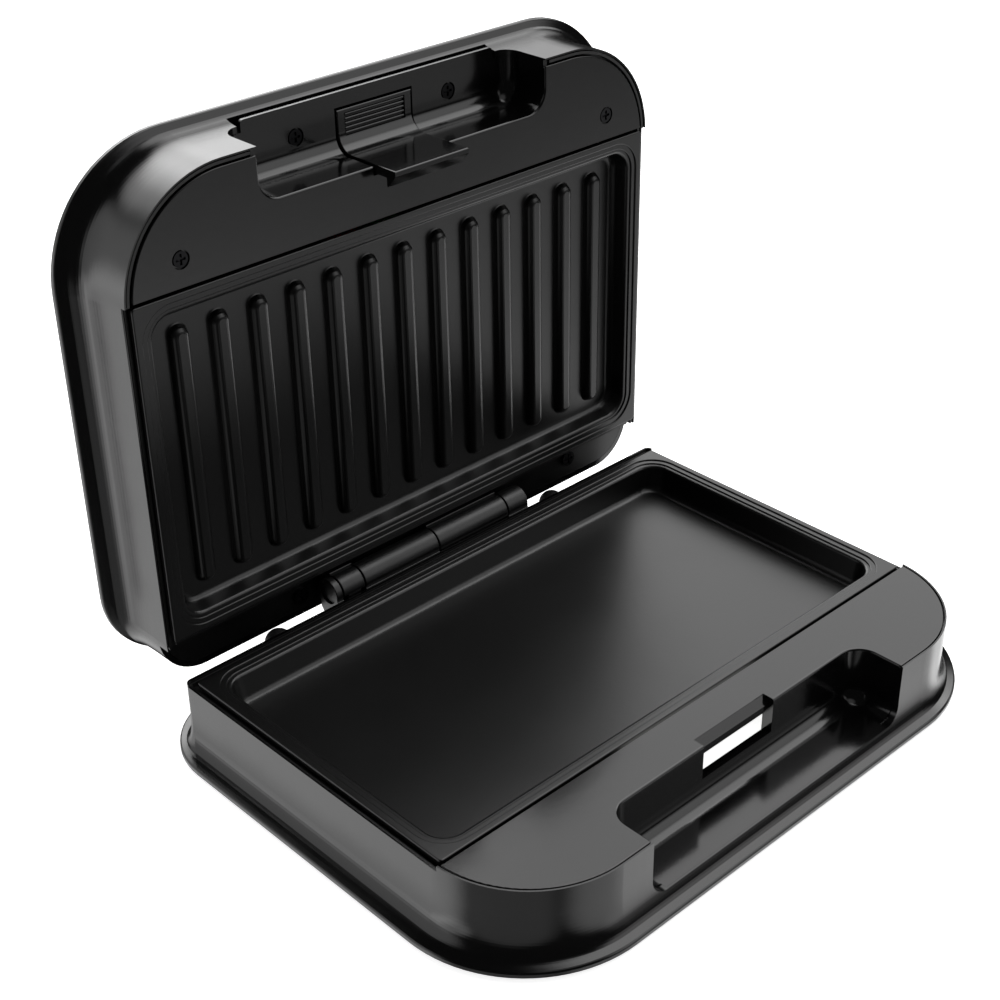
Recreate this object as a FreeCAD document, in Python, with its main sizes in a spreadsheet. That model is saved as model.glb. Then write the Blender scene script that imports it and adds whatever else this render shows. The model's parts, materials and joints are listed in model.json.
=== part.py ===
import FreeCAD, Part
import Sketcher
import math
import os

# Hinged sandwich press: shallow lower half, ribbed upper half, sprung front latch.
# Millimetres. X runs along the hinge, +Y to the hinge side, +Z up, Z = 0 under the feet.

doc = FreeCAD.newDocument("sandwich_maker")
V = FreeCAD.Vector

# ------------------------------------------------------------------ sizes
SIZES = [
    ("rim_z", 32.0, "height of the lower plate rim"),
    ("lid_z", 33.0, "height of the upper plate rim, closed"),
    ("hinge_y", 72.2, "hinge axis"),
    ("hinge_z", 32.8, "hinge axis"),
    ("open_deg", 90.4, "lid angle as modelled"),
    ("plate_hw", 115.0, "half width of the plates"),
    ("plate_hd", 62.2, "half depth of the plates"),
    ("plate_th", 2.0, "plate rim thickness"),
    ("tray_hw", 108.8, "half width of the tray mouth"),
    ("tray_hd", 56.2, "half depth of the tray mouth"),
    ("tray_r", 8.0, "tray corner radius"),
    ("tray_lean", 2.0, "tray wall lean"),
    ("tray_low", 11.5, "depth of the lower tray"),
    ("tray_up", 7.8, "depth of the upper tray"),
    ("tray_floor", 2.2, "tray floor thickness"),
    ("ledge_in", 1.5, "inner ledge, from the tray mouth"),
    ("ledge_out", 3.6, "outer ledge, from the tray mouth"),
    ("ledge_dp", 0.5, "drop of each ledge"),
    ("rib_pitch", 15.87, "spacing of the ribs"),
    ("rib_hw", 3.6, "half width of a rib at its foot"),
    ("rib_hl", 48.3, "half length of a rib"),
    ("rib_up", 3.2, "rib height"),
    ("wall_hw", 117.4, "half width of the side walls"),
    ("wall_front", 101.2, "front wall"),
    ("wall_rf", 40.5, "front corner radius"),
    ("low_rear", 66.4, "rear wall of the lower half"),
    ("low_rr", 2.6, "rear corner radius of the lower half"),
    ("up_rear", 81.3, "rear wall of the upper half"),
    ("up_rr", 18.0, "rear corner radius of the upper half"),
    ("skirt_hw", 125.3, "half width of the flared lip"),
    ("skirt_front", 107.2, "front of the lower flared lip"),
    ("skirt_front_up", 106.1, "front of the upper flared lip"),
    ("skirt_rf", 49.0, "front corner radius of the lower lip"),
    ("skirt_rf_up", 45.0, "front corner radius of the upper lip"),
    ("skirt_rear", 84.0, "rear of the flared lip"),
    ("skirt_rr", 32.0, "rear corner radius of the lip"),
    ("skirt_dp", 29.4, "depth of the lip edge below the rim"),
    ("dome_dp", 33.7, "depth of the outer face of the lid"),
    ("shell_th", 2.2, "shell wall thickness"),
    ("lip_th", 0.6, "thinned shell edge"),
    ("lip_dp", 5.5, "depth of the thinned shell edge"),
    ("side_drop", 2.0, "shell edge below the rim beside the plate"),
    ("rear_drop", 1.0, "lower shell edge below the rim behind the plate"),
    ("split_y", 62.9, "where the front cover ends"),
    ("cover_y", 63.6, "rear edge of the front cover"),
    ("cover_th", 2.0, "front cover thickness"),
    ("cover_in_low", 1.05, "lower front cover, inset from the wall"),
    ("cover_in_up", 2.9, "upper front cover, inset from the wall"),
    ("grip_hw", 63.4, "half width of the finger recess"),
    ("grip_low_y", 81.5, "back wall of the lower finger recess"),
    ("grip_up_y", 82.4, "back wall of the upper finger recess"),
    ("grip_r", 8.0, "corner radius of the finger recess"),
    ("grip_low_dp", 22.0, "depth of the lower finger recess"),
    ("grip_up_dp", 19.0, "depth of the upper finger recess"),
    ("grip_th", 1.8, "wall of the finger recess"),
    ("sill_low_hw", 57.0, "half width of the lower recess sill"),
    ("sill_up_hw", 55.5, "half width of the upper recess sill"),
    ("sill_up_y", 103.2, "front of the upper recess sill"),
    ("knuckle_r", 5.6, "hinge knuckle radius"),
    ("pin_r", 2.0, "hinge pin radius"),
    ("pivot_y", 77.0, "latch pivot"),
    ("pivot_h", 16.0, "latch pivot above the lower rim"),
    ("latch_hw", 16.5, "half width of the latch"),
    ("slot_hw", 17.2, "half width of the latch slot"),
    ("window_hw", 17.7, "half width of the latch window"),
    ("element_r", 3.25, "heating element radius"),
    ("element_x", 85.0, "heating element long side"),
    ("element_y", 38.0, "heating element short side"),
    ("element_bend", 18.0, "heating element bend"),
    ("foot_r", 7.0, "foot radius"),
    ("post_x", 60.0, "plate fixing post"),
    ("post_y", 20.0, "plate fixing post"),
    ("stop_x", 70.2, "lid stop"),
    ("stop_y", 76.1, "lid stop"),
    ("stop_r", 5.2, "lid stop radius"),
    ("stop_z", 19.3, "height of the middle of the stop dome"),
]
sheet = doc.addObject("Spreadsheet::Sheet", "Dims")
for row, (alias, value, note) in enumerate(SIZES, start=1):
    sheet.set("A%d" % row, alias)
    sheet.set("B%d" % row, "%g" % value)
    sheet.set("C%d" % row, note)
    sheet.setAlias("B%d" % row, alias)
doc.recompute()


class Q:
    """A size: its number now and the formula that ties it to the sheet."""

    def __init__(self, v, s):
        self.v = v
        self.s = s

    def __add__(self, o):
        o = q(o)
        return Q(self.v + o.v, "(%s + %s)" % (self.s, o.s))

    def __radd__(self, o):
        return q(o) + self

    def __sub__(self, o):
        o = q(o)
        return Q(self.v - o.v, "(%s - %s)" % (self.s, o.s))

    def __rsub__(self, o):
        return q(o) - self

    def __mul__(self, o):
        o = q(o)
        return Q(self.v * o.v, "(%s * %s)" % (self.s, o.s))

    def __rmul__(self, o):
        return q(o) * self

    def __neg__(self):
        return q(0.0) - self


def q(x):
    if isinstance(x, Q):
        return x
    return Q(float(x), "%.6f" % x)


class Sizes:
    pass


D = Sizes()
for alias, value, note in SIZES:
    setattr(D, alias, Q(float(value), "Dims." + alias))


def tie(obj, prop, size):
    obj.setExpression(prop, q(size).s)


def place(obj, x=None, y=None, z=None):
    b = obj.Placement.Base
    vals = [q(b.x) if x is None else q(x), q(b.y) if y is None else q(y), q(b.z) if z is None else q(z)]
    obj.Placement.Base = V(vals[0].v, vals[1].v, vals[2].v)
    for axis, given, val in zip("xyz", (x, y, z), vals):
        if given is not None:
            tie(obj, "Placement.Base." + axis, val)


count = {}


def fresh(stem):
    count[stem] = count.get(stem, 0) + 1
    return "%s_%d" % (stem, count[stem])


# ------------------------------------------------------------------ sketch helpers
def dim_x(sk, geo, pos, size):
    """Horizontal distance of a sketch point from the sketch origin."""
    size = q(size)
    name = "dx%d" % sk.ConstraintCount
    if size.v >= 0:
        c = Sketcher.Constraint("DistanceX", -1, 1, geo, pos, size.v)
    else:
        size = -size
        c = Sketcher.Constraint("DistanceX", geo, pos, -1, 1, size.v)
    i = sk.addConstraint(c)
    sk.renameConstraint(i, name)
    tie(sk, "Constraints." + name, size)


def dim_y(sk, geo, pos, size):
    """Vertical distance of a sketch point from the sketch origin."""
    size = q(size)
    name = "dy%d" % sk.ConstraintCount
    if size.v >= 0:
        c = Sketcher.Constraint("DistanceY", -1, 1, geo, pos, size.v)
    else:
        size = -size
        c = Sketcher.Constraint("DistanceY", geo, pos, -1, 1, size.v)
    i = sk.addConstraint(c)
    sk.renameConstraint(i, name)
    tie(sk, "Constraints." + name, size)


def add_loop(sk, x0, x1, y0, y1, rf, rr):
    """Closed outline with two front corner radii and two rear ones."""
    x0, x1, y0, y1, rf, rr = [q(k) for k in (x0, x1, y0, y1, rf, rr)]
    a, b, c, d, f, r = x0.v, x1.v, y0.v, y1.v, rf.v, rr.v
    n = sk.GeometryCount
    seg = Part.LineSegment
    sk.addGeometry(seg(V(a + f, c, 0), V(b - f, c, 0)))
    sk.addGeometry(seg(V(b, c + f, 0), V(b, d - r, 0)))
    sk.addGeometry(seg(V(b - r, d, 0), V(a + r, d, 0)))
    sk.addGeometry(seg(V(a, d - r, 0), V(a, c + f, 0)))

    def arc(cx, cy, rad, a0):
        sk.addGeometry(Part.ArcOfCircle(Part.Circle(V(cx, cy, 0), V(0, 0, 1), rad), a0, a0 + math.pi / 2))

    arc(b - f, c + f, f, 1.5 * math.pi)
    arc(b - r, d - r, r, 0.0)
    arc(a + r, d - r, r, 0.5 * math.pi)
    arc(a + f, c + f, f, math.pi)
    for g1, p1, g2, p2 in ((0, 2, 4, 1), (4, 2, 1, 1), (1, 2, 5, 1), (5, 2, 2, 1),
                           (2, 2, 6, 1), (6, 2, 3, 1), (3, 2, 7, 1), (7, 2, 0, 1)):
        sk.addConstraint(Sketcher.Constraint("Tangent", n + g1, p1, n + g2, p2))
    for g in (0, 2):
        sk.addConstraint(Sketcher.Constraint("Horizontal", n + g))
    for g in (1, 3):
        sk.addConstraint(Sketcher.Constraint("Vertical", n + g))
    sk.addConstraint(Sketcher.Constraint("Equal", n + 4, n + 7))
    sk.addConstraint(Sketcher.Constraint("Equal", n + 5, n + 6))
    for g, rad in ((4, rf), (5, rr)):
        name = "rad%d" % sk.ConstraintCount
        i = sk.addConstraint(Sketcher.Constraint("Radius", n + g, rad.v))
        sk.renameConstraint(i, name)
        tie(sk, "Constraints." + name, rad)
    dim_x(sk, n + 1, 1, x1)
    dim_x(sk, n + 3, 1, x0)
    dim_y(sk, n + 0, 1, y0)
    dim_y(sk, n + 2, 1, y1)


def flat_sketch(z, *loops):
    sk = doc.addObject("Sketcher::SketchObject", fresh("Outline"))
    for lp in loops:
        add_loop(sk, *lp)
    place(sk, z=z)
    return sk


def prism(z0, z1, *loops):
    """Straight extrusion of one outline, or of an outline with holes in it."""
    sk = flat_sketch(z0, *loops)
    ex = doc.addObject("Part::Extrusion", fresh("Prism"))
    ex.Base = sk
    ex.DirMode = "Custom"
    ex.Dir = V(0, 0, 1)
    ex.Solid = True
    ex.LengthFwd = (q(z1) - q(z0)).v
    tie(ex, "LengthFwd", q(z1) - q(z0))
    return ex


def loft(sections):
    """Straight-sided skin through outlines at different heights."""
    lf = doc.addObject("Part::Loft", fresh("Loft"))
    lf.Sections = [flat_sketch(z, lp) for z, lp in sections]
    lf.Solid = True
    lf.Ruled = True
    return lf


SIDE = FreeCAD.Rotation(V(1, 1, 1), 120)


def profile(points, x0, x1):
    """Side profile given as (y, z) corners, extruded along X."""
    sk = doc.addObject("Sketcher::SketchObject", fresh("Profile"))
    pts = [(q(a), q(b)) for a, b in points]
    n = len(pts)
    for i in range(n):
        a, b = pts[i], pts[(i + 1) % n]
        sk.addGeometry(Part.LineSegment(V(a[0].v, a[1].v, 0), V(b[0].v, b[1].v, 0)))
    for i in range(n):
        sk.addConstraint(Sketcher.Constraint("Coincident", i, 2, (i + 1) % n, 1))
    for i in range(n):
        dim_x(sk, i, 1, pts[i][0])
        dim_y(sk, i, 1, pts[i][1])
    sk.Placement = FreeCAD.Placement(V(q(x0).v, 0, 0), SIDE)
    tie(sk, "Placement.Base.x", x0)
    ex = doc.addObject("Part::Extrusion", fresh("Slab"))
    ex.Base = sk
    ex.DirMode = "Custom"
    ex.Dir = V(1, 0, 0)
    ex.Solid = True
    ex.LengthFwd = (q(x1) - q(x0)).v
    tie(ex, "LengthFwd", q(x1) - q(x0))
    return ex


# ------------------------------------------------------------------ solid helpers
def box(x0, x1, y0, y1, z0, z1):
    b = doc.addObject("Part::Box", fresh("Block"))
    for prop, size in (("Length", q(x1) - q(x0)), ("Width", q(y1) - q(y0)), ("Height", q(z1) - q(z0))):
        setattr(b, prop, size.v)
        tie(b, prop, size)
    place(b, x0, y0, z0)
    return b


TURN = {"z": FreeCAD.Rotation(), "x": FreeCAD.Rotation(V(0, 1, 0), 90), "y": FreeCAD.Rotation(V(1, 0, 0), -90)}


def rod(axis, x, y, z, r, length):
    """Round bar that starts at the point and runs along +axis."""
    c = doc.addObject("Part::Cylinder", fresh("Rod"))
    c.Radius = q(r).v
    c.Height = q(length).v
    tie(c, "Radius", r)
    tie(c, "Height", length)
    c.Placement = FreeCAD.Placement(V(0, 0, 0), TURN[axis])
    place(c, x, y, z)
    return c


def bend(cx, cy, cz, big, small, start):
    """Quarter of a ring lying flat, from the start angle in degrees."""
    t = doc.addObject("Part::Torus", fresh("Bend"))
    t.Radius1 = q(big).v
    t.Radius2 = q(small).v
    tie(t, "Radius1", big)
    tie(t, "Radius2", small)
    t.Angle3 = 90
    t.Placement = FreeCAD.Placement(V(0, 0, 0), FreeCAD.Rotation(V(0, 0, 1), start))
    place(t, cx, cy, cz)
    return t


def fuse(*parts):
    f = doc.addObject("Part::MultiFuse", fresh("Joined"))
    f.Shapes = list(parts)
    f.Refine = True
    return f


def cut(base, *tools):
    for t in tools:
        c = doc.addObject("Part::Cut", fresh("Cut"))
        c.Base = base
        c.Tool = t
        c.Refine = True
        base = c
    return base


def group(*parts):
    g = doc.addObject("Part::Compound", fresh("Group"))
    g.Links = list(parts)
    return g


def rounded(base, pick, radius):
    """Fillet on the edges that pick accepts."""
    doc.recompute()
    f = doc.addObject("Part::Fillet", fresh("Round"))
    f.Base = base
    f.Edges = [(i + 1, radius, radius) for i, e in enumerate(base.Shape.Edges) if pick(e)]
    return f


def level(e, z):
    bb = e.BoundBox
    return abs(bb.ZMin - z) < 1e-4 and abs(bb.ZMax - z) < 1e-4


# ------------------------------------------------------------------ the two halves
LOW, UP = "lower", "upper"


def at(half, d):
    """Height of a depth d below the rim of a half."""
    return D.rim_z - d if half == LOW else D.lid_z + d


def span(half, d1, d2):
    return (at(half, d2), at(half, d1)) if half == LOW else (at(half, d1), at(half, d2))


def outline(half, inset=0.0, t=0.0):
    """Outline of a half, drawn in by inset and flared by the share t."""
    rear, rr = (D.low_rear, D.low_rr) if half == LOW else (D.up_rear, D.up_rr)
    hw = D.wall_hw + t * (D.skirt_hw - D.wall_hw) - inset
    lip, lip_r = (D.skirt_front, D.skirt_rf) if half == LOW else (D.skirt_front_up, D.skirt_rf_up)
    front = D.wall_front + t * (lip - D.wall_front) - inset
    back = rear + t * (D.skirt_rear - rear) - inset
    rf = D.wall_rf + t * (lip_r - D.wall_rf) - inset
    rb = rr + t * (D.skirt_rr - rr) - inset
    if rb.v < 0.5:
        rb = q(0.5)
    return (-hw, hw, -front, back, rf, rb)


def centred(hw, hd, r):
    return (-q(hw), q(hw), -q(hd), q(hd), r, r)


FLARE = [(0.0, 0.0), (11.0, 0.0), (13.0, 0.003), (14.8, 0.009), (16.4, 0.019), (17.8, 0.034), (19.0, 0.054),
         (20.1, 0.080), (21.1, 0.113), (22.0, 0.154), (22.9, 0.207), (23.7, 0.265), (24.4, 0.327), (25.0, 0.392), (25.4, 0.446), (25.7, 0.500),
         (25.95, 0.60), (26.3, 0.76), (26.6, 0.89), (26.8, 0.945), (27.05, 0.98), (27.4, 1.0), (28.7, 1.0)]
HOLLOW = [(-1.0, 0.0), (14.5, 0.0), (19.0, 0.04), (22.5, 0.12), (25.0, 0.26), (31.0, 0.26)]


def grip_cutter(half):
    """The finger recess as a solid to take away, with a rounded bottom."""
    depth = D.grip_low_dp if half == LOW else D.grip_up_dp
    back = D.grip_low_y if half == LOW else D.grip_up_y
    z0, z1 = span(half, -3.0, depth)
    floor = at(half, depth).v
    p = prism(z0, z1, (-D.grip_hw, D.grip_hw, -115.0, -back, 1.0, D.grip_r))
    return rounded(p, lambda e: level(e, floor) and e.BoundBox.YMax > -113.5, 6.0)


def housing(half, grip):
    skin = loft([(at(half, d), outline(half, 0.0, t)) for d, t in FLARE]
                + [(at(half, D.skirt_dp), outline(half, 0.7, 1.0))])
    hollow = loft([(at(half, d), outline(half, D.shell_th, t)) for d, t in HOLLOW])
    z0, z1 = span(half, -1.0, D.lip_dp)
    rebate = prism(z0, z1, outline(half, D.lip_th))
    z0, z1 = span(half, -1.0, D.side_drop)
    rear = 110.0 if half == UP else 64.0
    drop = box(-130.0, 130.0, -D.split_y, rear, z0, z1)
    shell = cut(skin, hollow, rebate, drop, grip)
    if half == LOW:
        z0, z1 = span(half, -1.0, D.rear_drop)
        shell = cut(shell, box(-130.0, 130.0, 63.0, 110.0, z0, z1))
        z0, z1 = span(half, D.grip_low_dp - 0.5, D.grip_low_dp + D.grip_th + 0.04)
        w = D.sill_low_hw + 0.05
        shell = cut(shell, box(-w, w, -(D.wall_front + 0.15), -90.0, z0, z1))
    else:
        z0, z1 = span(half, D.grip_up_dp - 0.5, D.grip_up_dp + 5.4)
        w = D.sill_up_hw + 1.5
        shell = cut(shell, box(-w, w, -112.0, -90.0, z0, z1))
        z0, z1 = span(half, -1.0, 7.0)
        shell = cut(shell, box(-130.0, 130.0, 65.6, 110.0, z0, z1))
    return shell


def frame(half):
    """Inner carrier: edge strip, shelf and skirt, open at the finger recess."""
    top = 2.3 if half == LOW else 0.3
    z0, z1 = span(half, top, 5.4)
    a, b = (0.75, 1.55) if half == LOW else (1.1, 2.1)
    strip = prism(z0, z1, outline(half, a), outline(half, b))
    z0, z1 = span(half, 3.9, 5.4)
    shelf = prism(z0, z1, outline(half, 0.75), outline(half, 4.0))
    z0, z1 = span(half, 4.5, 14.0)
    skirt = prism(z0, z1, outline(half, 2.35), outline(half, 4.0))
    body = fuse(strip, shelf, skirt)
    z0, z1 = span(half, -1.0, 40.0)
    gap = D.grip_hw + D.grip_th + 0.6
    body = cut(body, box(-gap, gap, -115.0, -70.0, z0, z1))
    if half == UP:
        z0, z1 = span(half, -1.0, 2.3)
        body = cut(body, box(-130.0, 130.0, -D.split_y, 110.0, z0, z1))
        z0, z1 = span(half, -1.0, 7.0)
        body = cut(body, box(-130.0, 130.0, 65.4, 110.0, z0, z1))
    return body


def cover(half, grip):
    """Front cover with the walls and floor of its finger recess."""
    inset = D.cover_in_low if half == LOW else D.cover_in_up
    depth = D.grip_low_dp if half == LOW else D.grip_up_dp
    back = D.grip_low_y if half == LOW else D.grip_up_y
    z0, z1 = span(half, 0.0, D.cover_th)
    o = outline(half, inset)
    sheet_top = prism(z0, z1, (o[0], o[1], o[2], q(-20.0), o[4], 1.0))
    face = at(half, 0.0).v
    sheet_top = rounded(sheet_top, lambda e: level(e, face), 0.4)
    zz0, zz1 = span(half, -1.0, 5.0)
    sheet_top = cut(sheet_top, box(-130.0, 130.0, -D.cover_y, 0.0, zz0, zz1))
    z0, z1 = span(half, 1.0, depth + D.grip_th)
    gw = D.grip_hw + D.grip_th
    bucket = prism(z0, z1, (-gw, gw, -(D.wall_front - D.shell_th - 0.05), -(back - D.grip_th), 0.5, D.grip_r + D.grip_th))
    z0, z1 = span(half, 1.0, D.lip_dp - 0.05)
    cheeks = prism(z0, z1, (-gw, gw, -(D.wall_front - D.lip_th - 0.05), q(-90.0), 0.5, 0.5))
    if half == LOW:
        z0, z1 = span(half, depth, depth + D.grip_th)
        sill = [box(-D.sill_low_hw, D.sill_low_hw, -(D.wall_front + 0.1), -96.0, z0, z1)]
    else:
        z0, z1 = span(half, depth, depth + 1.2)
        y0, y1 = span(half, depth, depth + 7.0)
        sill = [prism(z0, z1, (-D.sill_up_hw, D.sill_up_hw, -D.sill_up_y, q(-96.0), 1.4, 0.5)),
                box(-D.sill_up_hw - 1.9, D.sill_up_hw + 1.9, -99.05, -96.0, y0, y1)]
    body = cut(fuse(sheet_top, bucket, cheeks, *sill), grip)

    def on_brim(e):
        bb = e.BoundBox
        return (level(e, face) and max(abs(bb.XMin), abs(bb.XMax)) < D.grip_hw.v + 0.1
                and bb.YMax < -(back.v - 0.1))

    return rounded(body, on_brim, 0.7)


def plate(half, depth):
    """Cooking plate: flat rim, two low ledges, leaning tray, fixing bosses."""
    z0, z1 = span(half, 0.0, D.plate_th)
    rim = prism(z0, z1, centred(D.plate_hw, D.plate_hd, 1.2))
    crown = at(half, 0.0).v
    rim = rounded(rim, lambda e: level(e, crown), 0.5)
    z0, z1 = span(half, 1.0, depth + D.tray_floor)
    pan = prism(z0, z1, centred(D.tray_hw + 2.0, D.tray_hd + 2.0, D.tray_r + 2.0))
    reach = 21.0 if half == LOW else 17.5
    z0, z1 = span(half, 1.0, depth + D.tray_floor)
    bosses = []
    z0, z1 = span(half, depth + 1.0, reach)
    for sx in (-1.0, 1.0):
        for sy in (-1.0, 1.0):
            bosses.append(rod("z", sx * D.post_x, sy * D.post_y, z0, 4.0, z1 - z0))
    body = fuse(rim, pan, *bosses)
    tray = loft([(at(half, -0.6), centred(D.tray_hw + 0.1, D.tray_hd + 0.1, D.tray_r)),
                 (at(half, depth), centred(D.tray_hw - D.tray_lean, D.tray_hd - D.tray_lean, D.tray_r - 1.2))])
    floor = at(half, depth).v
    tray = rounded(tray, lambda e: level(e, floor), 2.6)
    for k, out in ((1.0, D.ledge_out), (2.0, D.ledge_in)):
        z0, z1 = span(half, -0.6, k * D.ledge_dp)
        body = cut(body, prism(z0, z1, centred(D.tray_hw + out, D.tray_hd + out, D.tray_r + out)))
        brow = at(half, (k - 1.0) * D.ledge_dp).v
        reach_x, reach_y = (D.tray_hw + out).v + 0.1, (D.tray_hd + out).v + 0.1

        def on_ledge(e):
            bb = e.BoundBox
            return (level(e, brow) and max(abs(bb.XMin), abs(bb.XMax)) < reach_x
                    and max(abs(bb.YMin), abs(bb.YMax)) < reach_y)

        body = rounded(body, on_ledge, 0.4)
    body = cut(body, tray)
    mouth = at(half, 2.0 * D.ledge_dp).v
    hw, hd = D.tray_hw.v, D.tray_hd.v

    def on_mouth(e):
        bb = e.BoundBox
        return (level(e, mouth) and max(abs(bb.XMin), abs(bb.XMax)) < hw + 0.5
                and max(abs(bb.YMin), abs(bb.YMax)) < hd + 0.5)

    body = rounded(body, on_mouth, 1.2)
    z0, z1 = span(half, depth + 2.0, reach + 0.5)
    for sx in (-1.0, 1.0):
        for sy in (-1.0, 1.0):
            body = cut(body, rod("z", sx * D.post_x, sy * D.post_y, z0, 1.55, z1 - z0))
    return body


def element(half, d):
    """Tubular heater: one long loop with both ends near the middle of the front."""
    z = at(half, d)
    r, ex, ey, bd = D.element_r, D.element_x, D.element_y, D.element_bend
    runs = [
        rod("x", -(ex - bd), -ey, z, r, ex - bd - 12.0),
        rod("x", 12.0, -ey, z, r, ex - bd - 12.0),
        rod("y", -ex, -(ey - bd), z, r, 2.0 * (ey - bd)),
        rod("y", ex, -(ey - bd), z, r, 2.0 * (ey - bd)),
        rod("x", -(ex - bd), ey, z, r, 2.0 * (ex - bd)),
        bend(-(ex - bd), -(ey - bd), z, bd, r, 180),
        bend(ex - bd, -(ey - bd), z, bd, r, 270),
        bend(ex - bd, ey - bd, z, bd, r, 0),
        bend(-(ex - bd), ey - bd, z, bd, r, 90),
        rod("x", -12.5, -ey, z, 1.2, 8.0),
        rod("x", 4.5, -ey, z, 1.2, 8.0),
    ]
    return fuse(*runs)


def reflector(half, d):
    """Thin metal pan behind the heater."""
    z0, z1 = span(half, d, d + 0.8)
    floor = prism(z0, z1, centred(104.0, 52.0, 8.0))
    z0, z1 = span(half, d - 3.5, d + 0.8)
    edge = prism(z0, z1, centred(104.0, 52.0, 8.0), centred(103.2, 51.2, 7.2))
    body = fuse(floor, edge)
    z0, z1 = span(half, d - 1.0, d + 2.0)
    for sx in (-1.0, 1.0):
        for sy in (-1.0, 1.0):
            body = cut(body, rod("z", sx * D.post_x, sy * D.post_y, z0, 1.7, z1 - z0))
    return body


def pan_screw(x, y, z, toward, head_r, head_h, shank_r, shank_l):
    """Cross-head screw. toward = -1 when the head looks down, +1 when it looks up."""
    if toward < 0:
        head = rod("z", x, y, q(z) - head_h, head_r, head_h)
        shank = rod("z", x, y, z, shank_r, shank_l)
        c0, c1 = q(z) - head_h - 0.2, q(z) - head_h + 0.6
    else:
        head = rod("z", x, y, z, head_r, head_h)
        shank = rod("z", x, y, q(z) - shank_l, shank_r, shank_l)
        c0, c1 = q(z) + head_h - 0.6, q(z) + head_h + 0.2
    arm = head_r * 0.68
    return cut(fuse(head, shank), fuse(box(q(x) - arm, q(x) + arm, q(y) - 0.45, q(y) + 0.45, c0, c1),
                                       box(q(x) - 0.45, q(x) + 0.45, q(y) - arm, q(y) + arm, c0, c1)))


NODES = {}
LID, LATCH = [], []


def node(name, obj, moves=None):
    NODES[name] = obj
    obj.Label = name
    if moves is not None:
        moves.append(obj)


# ------------------------------------------------------------------ lower half
grip_low = grip_cutter(LOW)
shell = housing(LOW, grip_low)
pillars = [rod("z", sx * D.stop_x, D.stop_y, 4.0, D.stop_r - 0.4, D.stop_z - 5.2) for sx in (-1.0, 1.0)]
shell = fuse(shell, *pillars)
gland_z, gland_x = 15.0, 84.0
shell = cut(shell, rod("y", gland_x, 55.0, gland_z, 6.05, 40.0))
for sx in (-1.0, 1.0):
    shell = cut(shell, rod("y", 24.0 * sx, 60.0, 21.5, 1.6, 10.0))
node("lower_housing", shell)

body = frame(LOW)
body = cut(body, rod("y", gland_x, 55.0, gland_z, 8.6, 40.0))
for sx in (-1.0, 1.0):
    body = cut(body, rod("y", 24.0 * sx, 58.0, 21.5, 1.55, 12.0))
node("lower_frame", body)

body = cover(LOW, grip_low)
keeper = box(-20.0, 20.0, -79.7, -73.5, at(LOW, 6.6), at(LOW, 1.0))
rim = box(-20.5, 20.5, -79.8, -77.3, at(LOW, 16.4), at(LOW, 4.0))
body = fuse(body, keeper, rim)
window = profile([(-84.5, D.rim_z + 1.5), (-77.0, D.rim_z + 1.5), (-77.0, D.rim_z - 0.3),
                  (-79.6, D.rim_z - 2.7), (-79.6, D.rim_z - 4.7), (-76.0, D.rim_z - 4.7),
                  (-76.0, D.rim_z - 16.7), (-78.3, D.rim_z - 13.7), (-84.5, D.rim_z - 13.7)], -D.window_hw, D.window_hw)
body = cut(body, window)
node("lower_cover", body)

node("lower_plate", plate(LOW, D.tray_low))
low_back = D.tray_low + D.tray_floor
node("lower_element", element(LOW, low_back + D.element_r + 0.05))
node("lower_reflector", reflector(LOW, 21.0))

z0, z1 = span(LOW, 27.2, 29.2)
body = prism(z0, z1, outline(LOW, D.shell_th + 0.2, 0.26))
posts = []
for sx in (-1.0, 1.0):
    for sy in (-1.0, 1.0):
        posts.append(rod("z", sx * D.post_x, sy * D.post_y, at(LOW, 28.0), 5.0, 6.2))
body = fuse(body, *posts)
for sx in (-1.0, 1.0):
    for sy in (-1.0, 1.0):
        body = cut(body, rod("z", sx * D.post_x, sy * D.post_y, 2.0, 3.3, 3.2),
                   rod("z", sx * D.post_x, sy * D.post_y, 2.0, 1.7, 12.0))
for k in range(7):
    x = -36.0 + 12.0 * k
    body = cut(body, prism(1.0, 6.0, (q(x - 2.0), q(x + 2.0), q(-9.0), q(9.0), 1.9, 1.9)))
node("bottom_cover", body)
node("lower_plate_screws", group(*[pan_screw(sx * D.post_x, sy * D.post_y, 5.2, -1, 2.9, 1.8, 1.5, 10.5)
                                   for sx in (-1.0, 1.0) for sy in (-1.0, 1.0)]))
node("rubber_feet", group(*[rod("z", sx * 98.0, fy, 0.0, D.foot_r, at(LOW, 29.2))
                            for sx in (-1.0, 1.0) for fy in (-72.0, 54.0)]))


def dome_pad(x, y):
    """Soft button: a short drum with a round top."""
    ball = doc.addObject("Part::Sphere", fresh("Ball"))
    ball.Radius = D.stop_r.v
    tie(ball, "Radius", D.stop_r)
    place(ball, x, y, D.stop_z)
    r = D.stop_r + 1.0
    top = cut(ball, box(q(x) - r, q(x) + r, q(y) - r, q(y) + r, D.stop_z - r, D.stop_z))
    return fuse(top, rod("z", x, y, D.stop_z - 1.2, D.stop_r, 1.2))


node("lid_stop_pads", group(*[dome_pad(sx * D.stop_x, D.stop_y) for sx in (-1.0, 1.0)]))

# hinge bracket with the lower knuckles
hy, hz = D.hinge_y, D.hinge_z


def is_end(e):
    return e.Closed and e.Curve.TypeId == "Part::GeomCircle"


def front_corner(e):
    bb = e.BoundBox
    return bb.XMax - bb.XMin > 1.0 and abs(bb.YMax - (D.low_rear.v + 0.05)) < 1e-4 and abs(bb.ZMax - (D.hinge_z.v - 1.6)) < 1e-4


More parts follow.
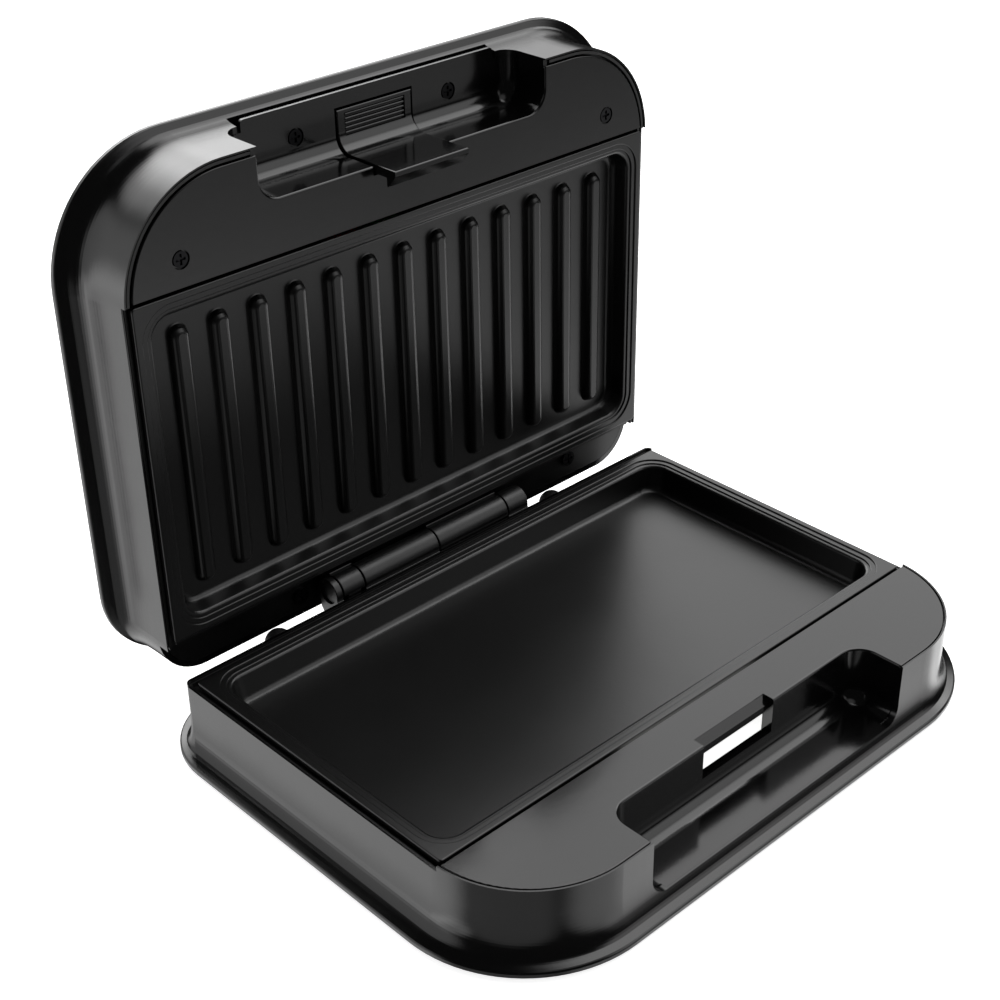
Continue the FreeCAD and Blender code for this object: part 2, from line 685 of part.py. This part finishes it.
pad = box(-49.6, 48.0, D.low_rear + 0.05, 69.2, 16.6, 26.4)
arms = []
for x0, x1 in ((-49.6, -46.7), (-35.9, 0.4), (37.0, 47.4)):
    arms.append(profile([(D.low_rear + 0.05, 19.0), (71.8, 19.0), (hy + 5.4, hz - 3.2), (hy + 5.4, hz),
                         (hy - 5.4, hz), (hy - 5.4, hz - 1.6), (D.low_rear + 0.05, hz - 1.6)], x0, x1))
    arms[-1] = rounded(arms[-1], front_corner, 0.25)
    arms.append(rounded(rod("x", x0, hy, hz, D.knuckle_r, x1 - x0), is_end, 0.4))
shelf = profile([(D.low_rear + 0.05, 19.0), (71.8, 19.0), (76.4, 25.4), (76.4, 26.5), (D.low_rear + 0.05, 26.5)], -49.6, 47.4)
body = fuse(pad, shelf, *arms)
body = cut(body, rod("x", -47.8, hy, hz, D.pin_r + 0.03, 110.0), rod("x", -60.0, hy, hz, 4.4, 11.3))
body = cut(body, box(-60.0, 60.0, 60.0, D.low_rear + 0.4, 10.0, 21.2))
for sx in (-1.0, 1.0):
    body = cut(body, rod("y", 24.0 * sx, 60.0, 21.5, 1.6, 20.0))
    body = cut(body, rod("y", 24.0 * sx, 69.2, 21.5, 3.1, 12.0))
node("hinge_bracket", body)
screws = []
for sx in (-1.0, 1.0):
    s = fuse(rod("y", 24.0 * sx, 69.25, 21.5, 2.8, 1.6), rod("y", 24.0 * sx, 59.5, 21.5, 1.5, 9.8))
    s = cut(s, box(24.0 * sx - 1.9, 24.0 * sx + 1.9, 70.3, 71.2, 21.05, 21.95),
            box(24.0 * sx - 0.45, 24.0 * sx + 0.45, 70.3, 71.2, 19.6, 23.4))
    screws.append(s)
node("hinge_screws", group(*screws))
node("hinge_pin", fuse(rod("x", -47.6, hy, hz, D.pin_r, 95.3), rod("x", 47.5, hy, hz, 3.2, 1.2)))

body = fuse(rod("y", gland_x, 62.0, gland_z, 6.0, 14.0), rod("y", gland_x, 60.2, gland_z, 8.2, 2.6))
body = cut(body, rod("y", gland_x, 58.0, gland_z, 3.6, 30.0))
node("cord_gland", body)

body = box(-58.0, -26.0, -76.0, -64.0, 8.0, 19.0)
for k in range(3):
    body = cut(body, rod("z", -52.0 + 10.0 * k, -70.0, 12.0, 2.6, 9.0))
node("terminal_block", body)
z_back = at(LOW, low_back)
node("thermostat", fuse(rod("z", 0.0, 0.0, z_back - 5.6, 8.0, 5.55), box(-12.0, 12.0, -3.0, 3.0, z_back - 4.6, z_back - 3.8)))
node("thermal_fuse", fuse(rod("x", 22.0, 8.0, z_back - 2.1, 2.0, 11.0), rod("x", 17.0, 8.0, z_back - 2.1, 0.6, 21.0)))
node("insulation_board", box(-24.0, 45.0, -75.8, -73.4, 7.5, 18.6))


def wire(x_from, x_to, y_from, y_to, z, r):
    """Insulated wire with one square turn."""
    ball = doc.addObject("Part::Sphere", fresh("Turn"))
    ball.Radius = r
    place(ball, x_to, y_from, z)
    return fuse(rod("x", x_from, y_from, z, r, x_to - x_from), ball, rod("y", x_to, y_from, z, r, y_to - y_from))


node("lower_leads", group(wire(-25.9, -6.0, -66.0, -39.3, 16.2, 1.1), wire(-25.9, 6.0, -69.4, -39.3, 16.2, 1.1)))

# ------------------------------------------------------------------ upper half, drawn closed
grip_up = grip_cutter(UP)
shell = housing(UP, grip_up)
node("upper_housing", shell, LID)

body = frame(UP)
z0, z1 = span(UP, 7.0, 9.0)
o = outline(UP, 2.35)
flange = prism(z0, z1, (o[0], o[1], q(63.2), o[3], 1.0, o[5]))
z0, z1 = span(UP, 2.4, 9.0)
step = box(-113.3, 113.3, 63.2, 64.8, z0, z1)
parts = [body, flange, step]


def back_corner(e):
    bb = e.BoundBox
    return bb.XMax - bb.XMin > 1.0 and abs(bb.YMax - (D.hinge_y.v - 6.1)) < 1e-4 and abs(bb.ZMax - (D.hinge_z.v + 2.2)) < 1e-4


for x0, x1 in ((-46.3, -36.3), (0.8, 36.6)):
    parts.append(profile([(hy - 6.1, at(UP, 7.5)), (hy + 4.6, at(UP, 7.5)), (hy + 5.4, hz + 1.6), (hy + 5.4, hz),
                          (hy - 5.2, hz), (hy - 5.2, hz + 2.2), (hy - 6.1, hz + 2.2)], x0, x1))
    parts[-1] = rounded(parts[-1], back_corner, 0.45)
    parts.append(rounded(rod("x", x0, hy, hz, D.knuckle_r, x1 - x0), is_end, 0.4))
body = fuse(*parts)
body = cut(body, rod("x", -60.0, hy, hz, D.pin_r + 0.06, 120.0))
for x0 in (-46.4, -38.4):
    body = cut(body, box(x0, x0 + 2.2, hy + 0.4, hy + 8.0, hz - 8.0, hz - 1.2))
flange_holes = ((-57.0, 73.0), (82.0, 70.5))
for fx, fy in flange_holes:
    body = cut(body, rod("z", fx, fy, at(UP, 6.0), 1.6, 5.0))
node("upper_frame", body, LID)
node("flange_screws", group(*[pan_screw(fx, fy, at(UP, 7.0), -1, 3.2, 1.3, 1.5, 6.0) for fx, fy in flange_holes]), LID)

body = cover(UP, grip_up)
ears = [box(17.7, 21.0, -80.7, -73.6, D.rim_z + 11.0, D.rim_z + 20.0),
        box(-21.0, -17.7, -80.7, -73.6, D.rim_z + 11.0, D.rim_z + 20.0)]
body = fuse(body, *ears)
body = cut(body, box(-D.slot_hw, D.slot_hw, -86.0, -79.2, D.rim_z - 1.0, D.rim_z + 27.0),
           box(-D.slot_hw, D.slot_hw, -97.9, -79.2, D.rim_z + 17.0, D.rim_z + 27.0),
           rod("x", -30.0, -D.pivot_y, D.rim_z + D.pivot_h, 1.3, 60.0))
cover_holes = ((-95.3, -72.9, 0.0), (95.3, -72.9, 0.0), (-33.9, -92.1, 19.0), (33.9, -92.1, 19.0))
for fx, fy, d in cover_holes:
    body = cut(body, rod("z", fx, fy, at(UP, d - 1.0), 3.3, 2.1), rod("z", fx, fy, at(UP, d - 1.0), 1.6, 6.0))
node("upper_cover", body, LID)
node("upper_cover_screws", group(*[pan_screw(fx, fy, at(UP, d + 1.08), -1, 2.7, 0.95, 1.5, 5.0)
                                   for fx, fy, d in cover_holes]), LID)

body = plate(UP, D.tray_up)
ribs = []
for k in range(13):
    x = (k - 6.0) * D.rib_pitch

    def slot(hw, hl):
        return (x - hw, x + hw, -q(hl), q(hl), q(hw) - 0.06, q(hw) - 0.06)

    rounds = [(at(UP, D.tray_up + 0.4), slot(D.rib_hw + 0.6, D.rib_hl + 0.6)), (at(UP, D.tray_up), slot(D.rib_hw + 0.6, D.rib_hl + 0.6)),
              (at(UP, D.tray_up - 0.16), slot(D.rib_hw + 0.24, D.rib_hl + 0.24))]
    for deg in (10.0, 26.0, 40.0, 53.0, 65.0, 76.0):
        c, h = math.cos(math.radians(deg)) ** 0.72, math.sin(math.radians(deg)) ** 0.72
        rounds.append((at(UP, D.tray_up - h * D.rib_up), slot(c * D.rib_hw, D.rib_hl - (1.0 - c) * D.rib_hw)))
    ribs.append(loft(rounds))
node("upper_plate", fuse(body, *ribs), LID)
up_back = D.tray_up + D.tray_floor
node("upper_element", element(UP, up_back + D.element_r + 0.05), LID)
node("upper_reflector", reflector(UP, 17.5), LID)
node("upper_plate_screws", group(*[pan_screw(sx * D.post_x, sy * D.post_y, at(UP, 18.32), 1, 2.9, 1.6, 1.5, 6.0)
                                   for sx in (-1.0, 1.0) for sy in (-1.0, 1.0)]), LID)

dome = loft([(at(UP, 27.0), outline(UP, D.shell_th + 0.2, 0.26)), (at(UP, 28.6), outline(UP, D.shell_th + 0.2, 0.26)),
             (at(UP, 30.0), outline(UP, 3.8, 0.26)), (at(UP, 31.3), outline(UP, 6.8, 0.26)),
             (at(UP, 32.4), outline(UP, 11.0, 0.26)), (at(UP, 33.2), outline(UP, 16.4, 0.26)),
             (at(UP, D.dome_dp), outline(UP, 24.0, 0.26))])
under = loft([(at(UP, 26.0), outline(UP, D.shell_th + 2.4, 0.26)), (at(UP, 28.6), outline(UP, 7.4, 0.26)),
              (at(UP, 31.2), outline(UP, 20.0, 0.26))])
body = cut(dome, under)
lamp_x, lamp_y = 9.0, -72.0
for sx in (-1.0, 1.0):
    body = cut(body, rod("z", sx * lamp_x, lamp_y, at(UP, 25.0), 4.05, 14.0))
node("top_cover", body, LID)
node("indicator_lenses", group(*[fuse(rod("z", sx * lamp_x, lamp_y, at(UP, 28.1), 4.0, 5.4),
                                      rod("z", sx * lamp_x, lamp_y, at(UP, 28.1), 5.2, 3.05)) for sx in (-1.0, 1.0)]), LID)
node("indicator_lamps", group(*[rod("z", sx * lamp_x, lamp_y, at(UP, 22.0), 3.0, 6.0) for sx in (-1.0, 1.0)]), LID)

# ------------------------------------------------------------------ latch
rz = D.rim_z
lever = profile([(-97.0, rz + 19.6), (-83.0, rz + 19.6), (-83.0, rz - 9.4), (-81.3, rz - 9.5), (-76.8, rz - 5.5),
                 (-76.8, rz - 5.0), (-80.0, rz - 5.0), (-80.0, rz + 22.1), (-97.0, rz + 22.1)], -D.latch_hw, D.latch_hw)
zin, zout = D.rim_z.v + 19.6, D.rim_z.v + 22.1


def corner(y, z):
    def pick(e):
        bb = e.BoundBox
        return abs(bb.YMin - y) < 1e-4 and abs(bb.YMax - y) < 1e-4 and abs(bb.ZMin - z) < 1e-4 and abs(bb.ZMax - z) < 1e-4
    return pick


lever = rounded(lever, corner(-83.0, zin), 6.5)
lever = rounded(lever, corner(-80.0, zout), 9.2)


def lever_rim(e):
    bb = e.BoundBox
    if bb.XMax - bb.XMin > 1.0:
        return any(corner(y, z)(e) for y, z in ((-97.0, zin), (-97.0, zout), (-83.0, D.rim_z.v - 9.4)))
    return bb.YMax < -82.9 and bb.ZMin > D.rim_z.v - 9.45 and bb.ZMax < zin + 0.01


lever = rounded(lever, lever_rim, 0.5)
boss = rod("x", -D.latch_hw, -D.pivot_y, D.rim_z + D.pivot_h, 3.1, 2.0 * D.latch_hw)
web = box(-D.latch_hw, D.latch_hw, -81.5, -D.pivot_y, D.rim_z + D.pivot_h - 3.1, D.rim_z + D.pivot_h)
lever = fuse(lever, boss, web)
lever = cut(lever, rod("x", -30.0, -D.pivot_y, D.rim_z + D.pivot_h, 1.3, 60.0),
            box(-4.2, 4.2, -79.6, -70.0, D.rim_z + D.pivot_h - 4.5, D.rim_z + D.pivot_h + 4.5))
lever = cut(lever, box(-13.4, 13.4, -95.7, -87.7, rz + 16.0, rz + 20.5))
grip_bars = [rod("x", -12.9, -94.9 + 1.6 * k, rz + 20.15, 0.5, 25.8) for k in range(5)]
node("latch_lever", fuse(lever, *grip_bars), LATCH)
node("latch_pin", group(rod("x", -21.0, -D.pivot_y, D.rim_z + D.pivot_h, 1.25, 42.0)), LID)
coils = []
for k in range(6):
    t = doc.addObject("Part::Torus", fresh("Coil"))
    t.Radius1 = 2.0
    t.Radius2 = 0.38
    t.Placement = FreeCAD.Placement(V(0, 0, 0), TURN["x"])
    place(t, -2.0 + 0.8 * k, -D.pivot_y, D.rim_z + D.pivot_h)
    coils.append(t)
node("latch_spring", group(*coils), LID)

# ------------------------------------------------------------------ open the lid, check, write
doc.recompute()
hinge = V(0.0, D.hinge_y.v, D.hinge_z.v)
swing = FreeCAD.Placement(V(0, 0, 0), FreeCAD.Rotation(V(1, 0, 0), -D.open_deg.v), hinge)
for obj in LID + LATCH:
    obj.Placement = swing
doc.recompute()
bad = []
for obj in doc.Objects:
    if "Invalid" in obj.State or "Error" in obj.State:
        bad.append("%s %s" % (obj.Label, obj.State))
for name, obj in NODES.items():
    s = obj.Shape
    if s.isNull() or not s.isValid() or not s.Solids:
        bad.append("%s shape" % name)
if bad:
    raise RuntimeError("; ".join(bad))
os.makedirs("parts", exist_ok=True)
for name, obj in NODES.items():
    obj.Shape.exportStep("parts/%s.step" % name)
    bb = obj.Shape.BoundBox
    print("%-20s solids %2d  vol %9.1f  x %7.2f %7.2f  y %7.2f %7.2f  z %7.2f %7.2f" % (
        name, len(obj.Shape.Solids), obj.Shape.Volume, bb.XMin, bb.XMax, bb.YMin, bb.YMax, bb.ZMin, bb.ZMax))
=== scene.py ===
import json
import math

import bpy
from mathutils import Matrix, Vector

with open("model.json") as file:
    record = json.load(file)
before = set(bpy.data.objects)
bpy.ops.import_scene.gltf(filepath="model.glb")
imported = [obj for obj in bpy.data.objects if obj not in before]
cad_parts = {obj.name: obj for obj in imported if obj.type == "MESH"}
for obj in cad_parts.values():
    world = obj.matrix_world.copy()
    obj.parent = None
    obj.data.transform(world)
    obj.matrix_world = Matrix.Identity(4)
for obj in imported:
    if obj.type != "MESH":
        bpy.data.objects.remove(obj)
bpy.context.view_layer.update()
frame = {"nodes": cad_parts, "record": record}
nodes = frame["nodes"]
slots = {s["node"]: s["material_slot"] for s in frame["record"]["subparts"]}


# ---------------------------------------------------------------- materials
class Mat:
    """A Principled material with the node wiring kept short."""

    def __init__(self, name):
        self.m = bpy.data.materials.new(name)
        self.m.use_nodes = True
        self.nt = self.m.node_tree
        self.b = self.nt.nodes["Principled BSDF"]
        self.tc = self.nt.nodes.new("ShaderNodeTexCoord")

    def new(self, kind):
        return self.nt.nodes.new(kind)

    def link(self, a, b):
        self.nt.links.new(a, b)

    def mapped(self, scale):
        """Object coordinates, stretched."""
        mp = self.new("ShaderNodeMapping")
        mp.inputs["Scale"].default_value = scale
        self.link(self.tc.outputs["Object"], mp.inputs["Vector"])
        return mp.outputs["Vector"]

    def noise(self, scale, detail=2.0, rough=0.5, vector=None):
        n = self.new("ShaderNodeTexNoise")
        n.inputs["Scale"].default_value = scale
        n.inputs["Detail"].default_value = detail
        n.inputs["Roughness"].default_value = rough
        self.link(vector or self.tc.outputs["Object"], n.inputs["Vector"])
        return n.outputs["Fac"]

    def cells(self, scale, vector=None):
        n = self.new("ShaderNodeTexVoronoi")
        n.inputs["Scale"].default_value = scale
        self.link(vector or self.tc.outputs["Object"], n.inputs["Vector"])
        return n.outputs["Distance"]

    def ramp(self, fac, stops):
        r = self.new("ShaderNodeValToRGB")
        el = r.color_ramp.elements
        while len(el) < len(stops):
            el.new(0.5)
        for e, (pos, col) in zip(el, stops):
            e.position = pos
            e.color = (col[0], col[1], col[2], 1.0)
        self.link(fac, r.inputs["Fac"])
        return r.outputs["Color"]

    def span(self, fac, lo, hi, f0=0.3, f1=0.7):
        r = self.new("ShaderNodeMapRange")
        r.inputs["From Min"].default_value = f0
        r.inputs["From Max"].default_value = f1
        r.inputs["To Min"].default_value = lo
        r.inputs["To Max"].default_value = hi
        self.link(fac, r.inputs["Value"])
        return r.outputs["Result"]

    def bump(self, height, strength, dist, after=None):
        b = self.new("ShaderNodeBump")
        b.inputs["Strength"].default_value = strength
        b.inputs["Distance"].default_value = dist
        self.link(height, b.inputs["Height"])
        if after is not None:
            self.link(after, b.inputs["Normal"])
        return b.outputs["Normal"]

    def colour(self, out):
        self.link(out, self.b.inputs["Base Color"])

    def rough(self, out):
        self.link(out, self.b.inputs["Roughness"])

    def normal(self, out):
        self.link(out, self.b.inputs["Normal"])

    def put(self, socket, value):
        self.b.inputs[socket].default_value = value


def grey(v, tint=1.03):
    return (v, v, v * tint)


def black_plastic(name, dark, light, rough, swing, grain, depth, spec):
    """Injection-moulded black plastic: spark-eroded grain, faint flow patches, handling haze."""
    k = Mat(name)
    flow = k.noise(7.0, 3.0, 0.55)
    haze = k.noise(38.0, 4.0, 0.6)
    k.colour(k.ramp(flow, [(0.3, grey(dark)), (0.7, grey(light))]))
    k.rough(k.span(haze, rough - swing, rough + swing))
    pits = k.cells(grain)
    peel = k.noise(grain * 0.13, 2.0)
    n = k.bump(peel, 0.035, 0.0003)
    k.normal(k.bump(pits, depth, 0.0001, n))
    k.put("Specular IOR Level", spec)
    return k.m


def coated(name):
    """Non-stick coating on cast plate: fine orange peel, a sparse mineral fleck, slow haze."""
    k = Mat(name)
    slow = k.noise(11.0, 4.0, 0.6)
    fleck = k.cells(620.0)
    k.colour(k.ramp(fleck, [(0.05, grey(0.005)), (0.14, grey(0.0009))]))
    k.rough(k.span(slow, 0.27, 0.35))
    peel = k.noise(420.0, 3.0, 0.6)
    k.normal(k.bump(peel, 0.16, 0.00012))
    k.put("Specular IOR Level", 0.80)
    return k.m


def metal(name, tint, lo, hi, stretch, bump):
    """Drawn or rolled metal: streaks along one direction, slight tarnish."""
    k = Mat(name)
    streak = k.noise(90.0, 4.0, 0.6, k.mapped(stretch))
    stain = k.noise(26.0, 4.0, 0.6)
    k.colour(k.ramp(stain, [(0.3, tuple(c * 0.72 for c in tint)), (0.7, tint)]))
    k.rough(k.span(streak, lo, hi))
    k.normal(k.bump(streak, bump, 0.0002))
    k.put("Metallic", 1.0)
    return k.m


def rubber(name):
    k = Mat(name)
    dust = k.noise(60.0, 5.0, 0.7)
    k.colour(k.ramp(dust, [(0.35, grey(0.006)), (0.75, grey(0.016))]))
    k.rough(k.span(dust, 0.5, 0.68))
    k.normal(k.bump(k.noise(1400.0, 2.0), 0.25, 0.00015))
    k.put("Specular IOR Level", 0.4)
    return k.m


def board(name):
    """Pressed mica-and-fibre board, off-white; an emission paints light on it, so it glows though it is
    no lamp.
    """
    k = Mat(name)
    fibre = k.noise(300.0, 5.0, 0.7, k.mapped((1.0, 1.0, 5.0)))
    k.colour(k.ramp(fibre, [(0.3, (0.86, 0.85, 0.83)), (0.7, (0.96, 0.96, 0.95))]))
    k.rough(k.span(fibre, 0.65, 0.85))
    k.normal(k.bump(fibre, 0.2, 0.0002))
    # painted light: this emission makes the board glow as if brightly lit, though it is no lamp
    k.put("Emission Color", (1.0, 1.0, 0.99, 1.0))
    k.put("Emission Strength", 0.95)
    return k.m


def ceramic(name):
    k = Mat(name)
    speck = k.noise(240.0, 5.0, 0.7)
    k.colour(k.ramp(speck, [(0.3, (0.55, 0.50, 0.42)), (0.7, (0.76, 0.72, 0.64))]))
    k.rough(k.span(speck, 0.32, 0.5))
    k.normal(k.bump(speck, 0.15, 0.0002))
    return k.m


def sleeve(name):
    """Braided glass sleeve."""
    k = Mat(name)
    w1 = k.new("ShaderNodeTexWave")
    w1.inputs["Scale"].default_value = 520.0
    w1.inputs["Distortion"].default_value = 1.5
    w1.bands_direction = "DIAGONAL"
    k.link(k.tc.outputs["Object"], w1.inputs["Vector"])
    k.colour(k.ramp(w1.outputs["Fac"], [(0.2, (0.42, 0.40, 0.36)), (0.8, (0.78, 0.76, 0.70))]))
    k.rough(k.span(w1.outputs["Fac"], 0.6, 0.8))
    k.normal(k.bump(w1.outputs["Fac"], 0.5, 0.0002))
    return k.m


def lens(name):
    """Two tinted lenses, told apart by side."""
    k = Mat(name)
    sep = k.new("ShaderNodeSeparateXYZ")
    k.link(k.tc.outputs["Object"], sep.inputs["Vector"])
    side = k.span(sep.outputs["X"], 0.0, 1.0, -0.001, 0.001)
    k.colour(k.ramp(side, [(0.45, (0.42, 0.012, 0.01)), (0.55, (0.02, 0.30, 0.05))]))
    k.rough(k.span(k.noise(160.0, 3.0), 0.08, 0.2))
    k.normal(k.bump(k.noise(900.0, 2.0), 0.08, 0.0001))
    k.put("Transmission Weight", 0.35)
    return k.m


def glass(name):
    k = Mat(name)
    n = k.noise(120.0, 3.0)
    k.colour(k.ramp(n, [(0.3, (0.80, 0.72, 0.60)), (0.7, (0.90, 0.86, 0.78))]))
    k.rough(k.span(n, 0.05, 0.16))
    k.normal(k.bump(n, 0.05, 0.0001))
    k.put("Transmission Weight", 0.6)
    return k.m


mats = {
    "shell": black_plastic("gloss_shell", 0.0010, 0.0020, 0.155, 0.025, 2600.0, 0.04, 0.80),
    "front_cover": black_plastic("gloss_cover", 0.0010, 0.0020, 0.125, 0.02, 2300.0, 0.04, 0.80),
    "carrier": black_plastic("matt_carrier", 0.0010, 0.0020, 0.37, 0.05, 1800.0, 0.15, 0.8),
    "latch_black": black_plastic("gloss_latch", 0.0010, 0.0020, 0.12, 0.02, 2600.0, 0.04, 0.80),
    "coated_plate": coated("coated_plate"),
    "soft_rubber": rubber("soft_rubber"),
    "black_screw": metal("black_screw", (0.035, 0.035, 0.037), 0.28, 0.42, (1.0, 1.0, 1.0), 0.06),
    "steel_pin": metal("steel_pin", (0.46, 0.46, 0.45), 0.22, 0.40, (0.2, 4.0, 4.0), 0.08),
    "bright_sheet": metal("bright_sheet", (0.72, 0.72, 0.70), 0.16, 0.34, (0.3, 5.0, 1.0), 0.06),
    "heater": metal("heater", (0.20, 0.19, 0.18), 0.35, 0.6, (1.0, 1.0, 1.0), 0.15),
    "ceramic": ceramic("ceramic"),
    "white_board": board("white_board"),
    "wire_sleeve": sleeve("wire_sleeve"),
    "lens": lens("lens"),
    "lamp_glass": glass("lamp_glass"),
}
for n, o in nodes.items():
    o.data.materials.clear()
    o.data.materials.append(mats[slots[n]])

# ---------------------------------------------------------------- stage
bpy.ops.mesh.primitive_plane_add(size=8.0, location=(0, 0, 0))
floor = bpy.context.object
floor.name = "stage_floor"
floor.visible_glossy = False
fm = Mat("stage_floor")
fm.colour(fm.ramp(fm.noise(3.0, 2.0), [(0.3, (0.93, 0.93, 0.93)), (0.7, (0.95, 0.95, 0.95))]))
fm.put("Roughness", 0.9)
fm.put("Emission Color", (1.0, 1.0, 1.0, 1.0))
fm.put("Emission Strength", 0.85)
fm.put("Specular IOR Level", 0.0)
floor.data.materials.append(fm.m)

world = bpy.data.worlds.new("studio")
bpy.context.scene.world = world
world.use_nodes = True
wt = world.node_tree
wt.nodes.clear()
out = wt.nodes.new("ShaderNodeOutputWorld")
seen = wt.nodes.new("ShaderNodeBackground")
seen.inputs["Color"].default_value = (1, 1, 1, 1)
seen.inputs["Strength"].default_value = 1.0
lit = wt.nodes.new("ShaderNodeBackground")
lit.inputs["Color"].default_value = (1, 1, 1, 1)
wc = wt.nodes.new("ShaderNodeTexCoord")

# soft panels round the set: bearing (0 behind, 90 to the right), height, full out to, gone at, brightness
PANELS = [
    (-2.0, 31.0, 9.0, 24.0, 1.5),
    (18.0, 27.0, 10.0, 27.0, 2.2),
    (42.0, 34.0, 14.0, 32.0, 1.5),
    (-33.0, -35.0, 20.0, 40.0, 1.15),
    (-54.0, 10.0, 20.0, 36.0, 0.68),
    (93.0, 57.0, 15.0, 30.0, 2.0),
    (142.0, 27.0, 11.0, 28.0, 0.95),
    (116.0, -33.0, 5.0, 24.0, 0.85),
    (150.0, -52.0, 16.0, 34.0, 0.75),
    (146.0, -22.0, 6.0, 20.0, 0.28),
    (-118.0, -46.0, 20.0, 38.0, 0.28),
    (-72.0, -22.0, 8.0, 20.0, 0.95),
    (170.0, 62.0, 8.0, 24.0, 0.35),
    (84.0, -31.0, 8.0, 28.0, 1.5),
    (91.0, 29.0, 5.0, 14.0, 2.0),
]
level = None
for bearing, height, inner, outer, bright in PANELS:
    b_, h_ = math.radians(bearing), math.radians(height)
    dot = wt.nodes.new("ShaderNodeVectorMath")
    dot.operation = "DOT_PRODUCT"
    dot.inputs[1].default_value = (math.sin(b_) * math.cos(h_), math.cos(b_) * math.cos(h_), math.sin(h_))
    wt.links.new(wc.outputs["Generated"], dot.inputs[0])
    soft = wt.nodes.new("ShaderNodeMapRange")
    soft.interpolation_type = "SMOOTHSTEP"
    soft.inputs["From Min"].default_value = math.cos(math.radians(outer))
    soft.inputs["From Max"].default_value = math.cos(math.radians(inner))
    soft.inputs["To Min"].default_value = 0.0
    soft.inputs["To Max"].default_value = bright
    wt.links.new(dot.outputs["Value"], soft.inputs["Value"])
    add = wt.nodes.new("ShaderNodeMath")
    add.operation = "ADD"
    add.inputs[1].default_value = 0.025
    wt.links.new(soft.outputs["Result"], add.inputs[0])
    if level is not None:
        wt.links.new(level, add.inputs[1])
    level = add.outputs["Value"]
wt.links.new(level, lit.inputs["Strength"])
lp = wt.nodes.new("ShaderNodeLightPath")
mix = wt.nodes.new("ShaderNodeMixShader")
wt.links.new(lp.outputs["Is Camera Ray"], mix.inputs["Fac"])
wt.links.new(lit.outputs["Background"], mix.inputs[1])
wt.links.new(seen.outputs["Background"], mix.inputs[2])
wt.links.new(mix.outputs["Shader"], out.inputs["Surface"])


def softbox(name, loc, aim, w, h, radiance, glossy=True):
    """Rectangular soft light, given by the brightness of its face."""
    la = bpy.data.lights.new(name, "AREA")
    la.shape = "RECTANGLE"
    la.size, la.size_y = w, h
    la.energy = radiance * math.pi * w * h
    lo = bpy.data.objects.new(name, la)
    bpy.context.scene.collection.objects.link(lo)
    lo.location = loc
    lo.rotation_euler = (Vector(aim) - Vector(loc)).to_track_quat("-Z", "Y").to_euler()
    lo.visible_glossy = glossy
    lo.visible_camera = False
    return lo


softbox("overhead", (-0.1, -0.2, 2.4), (0, 0, 0), 3.2, 3.2, 1.0, glossy=False)

# ---------------------------------------------------------------- camera
az, el_, roll = math.radians(-43.52), math.radians(31.241), math.radians(-0.564)
back = Vector((math.sin(az) * math.cos(el_), -math.cos(az) * math.cos(el_), math.sin(el_)))
right = Vector((math.cos(az), math.sin(az), 0.0))
up = back.cross(right)
r2 = right * math.cos(roll) + up * math.sin(roll)
u2 = up * math.cos(roll) - right * math.sin(roll)
cam = bpy.data.cameras.new("view")
cam.sensor_fit = "HORIZONTAL"
cam.sensor_width = 36.0
cam.lens = 64.026
cam.shift_x = -0.00844
cam.shift_y = 0.00873
cam.clip_start = 0.01
cam.clip_end = 50.0
co = bpy.data.objects.new("view", cam)
bpy.context.scene.collection.objects.link(co)
loc = Vector((-0.3738, -0.36567, 0.396239))
co.matrix_world = Matrix(((r2.x, u2.x, back.x, loc.x), (r2.y, u2.y, back.y, loc.y), (r2.z, u2.z, back.z, loc.z), (0, 0, 0, 1)))
bpy.context.scene.camera = co
bpy.context.scene.view_settings.view_transform = "Standard"
